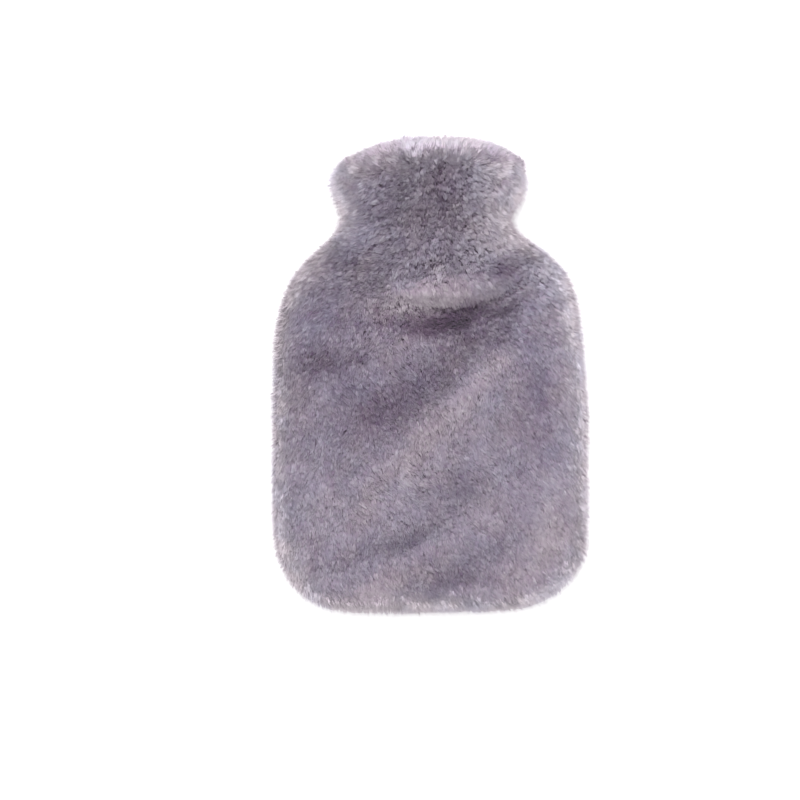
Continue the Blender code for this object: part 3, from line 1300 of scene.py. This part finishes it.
        back = self._set_back(tufts, rng)[:, None]
        rim = tufts.rim[:, None]
        held = 1.0 - self.RIM_FREEDOM * np.maximum(tufts.rim, tufts.edge.near[tuft])
        pull = (rng.uniform(0.0, chance.gathering, len(tips)) * held)[:, None]
        gathered = flattened((tufts.middles[tuft] - tips) * pull, normals)
        down_fibre = end_way / np.maximum(np.cos(end_lean), self.LEAST_COSINE)[:, None]
        ends = tips + gathered - blend(down_fibre, normals, rim) * back
        ends += normals * rim * tufts.edge.hang[tuft][:, None]
        at_seam = np.exp(-((tips[:, 2] - SEAM_HEIGHT) / self.SEAM_REACH) ** 2)
        ends[:, 2] += rng.normal(0.0, chance.crossing, len(tips)) * at_seam
        bends += gathered * self.BEND_GATHERING - blend(end_way, normals, rim) * back * self.BEND_BACK
        return roots, bends, ends

    def _set_back(self, tufts: Tufts, rng: np.random.Generator) -> np.ndarray:
        """How far below the outer surface each fibre ends.

        Args:
            tufts: the tufts.
            rng: where the random numbers come from.

        Returns:
            The depth of each end, in millimetres.
        """
        edge, tuft = tufts.edge, tufts.tuft
        back = blend(self.soft_top, edge.soft[tuft], self.SOFTENING.at(tufts.slope))
        thinness = blend(self.TOP_THINNESS, edge.thinness[tuft], tufts.rim)
        back = back * (1.0 - rng.random(len(tuft)) ** thinness)
        step = np.abs(rng.normal(0.0, self.chance.tuft_step, len(tufts.middles)))
        return back + (step + self.SINKING * tufts.fall.sunk)[tuft] * tufts.level

    def _half_widths(self, tufts: Tufts, comb: np.ndarray, axis: np.ndarray,
                     rng: np.random.Generator) -> np.ndarray:
        """Works out how wide each fibre is and which way it is rolled.

        Args:
            tufts: the tufts.
            comb: the way that each fibre is combed.
            axis: the way that its end points.
            rng: where the random numbers come from.

        Returns:
            The way from each fibre's middle line to its side.
        """
        along = tufts.tips[:, 1]
        roll = np.radians(rng.normal(0.0, self.chance.roll, len(along)) * self.ROLLING.at(along))
        width = blend(self.width, self.flat_width, tufts.pressed)
        width = width * rng.uniform(*self.chance.width_range, len(along)) * self.NECK_WIDTH.at(along)
        width *= 1.0 - tufts.rim * self.RIM_NARROWING.at(along)
        outward = unit(flattened(tufts.normals, axis))
        return tipped(np.cross(comb, tufts.normals), outward, roll) * (width / 2.0)[:, None]

    def _colours(self, tufts: Tufts, rng: np.random.Generator) -> tuple[np.ndarray, np.ndarray]:
        """Works out how pale and how warm each fibre is.

        Args:
            tufts: the tufts.
            rng: where the random numbers come from.

        Returns:
            The shade and the hue of each, both from 0 to 1.
        """
        chance, edge, tuft = self.chance, tufts.edge, tufts.tuft
        count, many = len(tuft), len(tufts.middles)
        differing = rng.normal(0.0, chance.tuft_tone, many) * self.TUFT_CONTRAST.at(tufts.middles[:, 1])
        tone = (tufts.fall.tone + differing) * (1.0 - self.EDGE_EVENNESS * edge.near)
        shade = np.minimum(self.MIDDLE_SHADE + tone, self.brightest)[tuft]
        shade = shade + rng.normal(0.0, chance.fibre_tone, count)
        # painted light along the outline, more on the steep side and less low down
        painted_rim_light = edge.painted_rim_light[tuft] * (1.0 + self.RIM_PAINTED_LIGHT * tufts.rim)
        shade += painted_rim_light * self.LOW_PAINTED_LIGHT.at(tufts.tips[:, 2])
        hue = (tufts.fall.warmth + rng.normal(0.0, chance.tuft_hue, many))[tuft]
        hue = hue + rng.normal(0.0, chance.fibre_hue, count) + self.EDGE_WARMTH * edge.near[tuft]
        return np.clip(shade, *self.SHADES), np.clip(hue, *self.HUES)

    def _write(self, strips: dict[str, np.ndarray]) -> list[bpy.types.Object]:
        """Writes the fibres as joined meshes.

        Args:
            strips: what each fibre is made of.

        Returns:
            The pieces, from the foot of the cover to its mouth.
        """
        order = np.argsort(strips["end"][:, 1], kind="stable")
        material = self.finish.material()
        made = []
        for number, chosen in enumerate(np.array_split(order, self.pieces), start=1):
            name = f"{self.name}_{number}"
            share = {key: values[chosen] for key, values in strips.items()}
            piece = new_object(name, self._mesh(name, share))
            piece.data.materials.append(material)
            made.append(piece)
            LOG.info("%s: %d fibres", name, len(chosen))
        return made

    def _mesh(self, name: str, strips: dict[str, np.ndarray]) -> bpy.types.Mesh:
        """Joins fibres into a mesh with the values that their finish reads.

        Args:
            name: the mesh's name.
            strips: what each fibre is made of.

        Returns:
            The mesh.
        """
        bend, side = strips["bend"], strips["side"]
        count = len(bend)
        corners = np.stack([strips["root"], bend - side, bend + side, strips["end"]], axis=1)
        corners[..., 2] = np.maximum(corners[..., 2], self.FLOOR_GAP)
        starts = self.CORNERS * np.arange(count)
        faces = (np.array(self.TRIANGLES)[None] + starts[:, None, None]).reshape(-1)
        mesh = bpy.data.meshes.new(name)
        mesh.vertices.add(count * self.CORNERS)
        mesh.vertices.foreach_set("co", (corners * MM).astype(np.float32).ravel())
        mesh.loops.add(len(faces))
        mesh.loops.foreach_set("vertex_index", faces.astype(np.int32))
        mesh.polygons.add(count * len(self.TRIANGLES))
        mesh.polygons.foreach_set("loop_start", np.arange(0, len(faces), 3, dtype=np.int32))
        mesh.update(calc_edges=True)
        mesh.shade_smooth()
        along = np.tile(self.ALONG, count)
        band = np.floor(strips["hue"] * self.HUE_BANDS)
        values = {
            "along": along,
            "shade": np.repeat(strips["shade"], self.CORNERS),
            "hue": np.repeat((band + 0.5) / self.HUE_BANDS, self.CORNERS),
        }
        for key, numbers in values.items():
            mesh.attributes.new(key, "FLOAT", "POINT").data.foreach_set("value", numbers.astype(np.float32))
        across = np.tile(self.ACROSS, count) * self.STRIP_HALF
        in_band = (band + blend(*self.SHADE_SPAN, strips["shade"])) / self.HUE_BANDS
        u = np.repeat(in_band, self.CORNERS) + across
        spots = np.stack([u, blend(*self.ALONG_SPAN, along)], axis=1)[faces]
        mesh.uv_layers.new(name="OFBake").data.foreach_set("uv", spots.astype(np.float32).ravel())
        return mesh


# --- The cover ---


@dataclass
class CoverPanel:
    """One panel of the cover: its cloth, the pile on it and its size as it is cut out flat."""

    cloth: BackingCloth
    pile: Pile
    cut_width: float = 235.0
    cut_length: float = 325.0
    cut_area: float = 0.058

    def build(self) -> None:
        """Makes the panel, hangs its pieces on the body and hides the node that it stands in for."""
        cloth = self.cloth.build()
        fibres = self.pile.build(self.cloth.tree(cloth))
        for piece in (cloth, *fibres):
            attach(piece, "root")
        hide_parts(self.cloth.side.node)
        LOG.info("%s and its pile are made", cloth.name)


class Studio:
    """The floor, the soft light and the camera straight above the cover.

    The view is in millimetres, and the floor and the lamp in metres.
    """

    VIEW_WIDTH = 567.0
    VIEW_CENTRE = (-21.6, -18.1, 24.0)
    DISTANCE = 1500.0
    SENSOR = 36.0
    FLOOR_SIZE = 12.0
    LAMP_PLACE = (-0.2, 0.8, 1.3)
    LAMP_SIZE = 1.4
    LAMP_POWER = 20.0

    def build(self) -> None:
        """Makes them all."""
        self._camera()
        self._floor()
        self._room()
        self._lamp()
        LOG.info("the studio is made")

    def _camera(self) -> None:
        """Hangs the camera over the middle of the picture, looking straight down."""
        lens = bpy.data.cameras.new("camera")
        lens.sensor_width = self.SENSOR
        lens.lens = self.SENSOR * self.DISTANCE / self.VIEW_WIDTH
        camera = new_object("camera", lens)
        x, y, z = self.VIEW_CENTRE
        camera.location = (x * MM, y * MM, (z + self.DISTANCE) * MM)
        bpy.context.scene.camera = camera

    def _floor(self) -> None:
        """Lays the floor under the cover."""
        mesh = bpy.data.meshes.new("floor")
        half = self.FLOOR_SIZE / 2.0
        corners = [(-half, -half, 0.0), (half, -half, 0.0), (half, half, 0.0), (-half, half, 0.0)]
        mesh.from_pydata(corners, [], [(0, 1, 2, 3)])
        floor = new_object("floor", mesh)
        floor.data.materials.append(FloorFinish().material())

    def _room(self) -> None:
        """Sets a bright plain room, and plain colours in the picture."""
        scene = bpy.context.scene
        scene.view_settings.view_transform = "Standard"
        scene.view_settings.look = "None"
        scene.world = bpy.data.worlds.new("room")
        scene.world.use_nodes = True
        sky = scene.world.node_tree.nodes["Background"]
        sky.inputs["Color"].default_value = (1.0, 1.0, 1.0, 1.0)
        sky.inputs["Strength"].default_value = 1.0

    def _lamp(self) -> None:
        """Hangs one soft lamp above the mouth's end."""
        light = bpy.data.lights.new("key", "AREA")
        light.shape = "DISK"
        light.size = self.LAMP_SIZE
        light.energy = self.LAMP_POWER
        lamp = new_object("key", light)
        lamp.location = self.LAMP_PLACE
        lamp.rotation_mode = "QUATERNION"
        lamp.rotation_quaternion = (-Vector(self.LAMP_PLACE)).to_track_quat("-Z", "Y")


def main() -> None:
    """Builds the scene, one piece after the other."""
    logging.basicConfig(level=logging.INFO, format="%(message)s")
    Studio().build()
    CoverPanel(
        BackingCloth(Side.FRONT, "cloth_front"),
        Pile(Side.FRONT, "pile_front", count=342_000, pieces=4, seed=21),
    ).build()
    CoverPanel(
        BackingCloth(Side.BACK, "cloth_back", thickness=1.8),
        Pile(Side.BACK, "pile_back", count=108_000, pieces=2, seed=22, flat_depth=4.6, flat_width=1.6,
             flat_density=0.25),
    ).build()


if __name__ == "__main__":
    main()
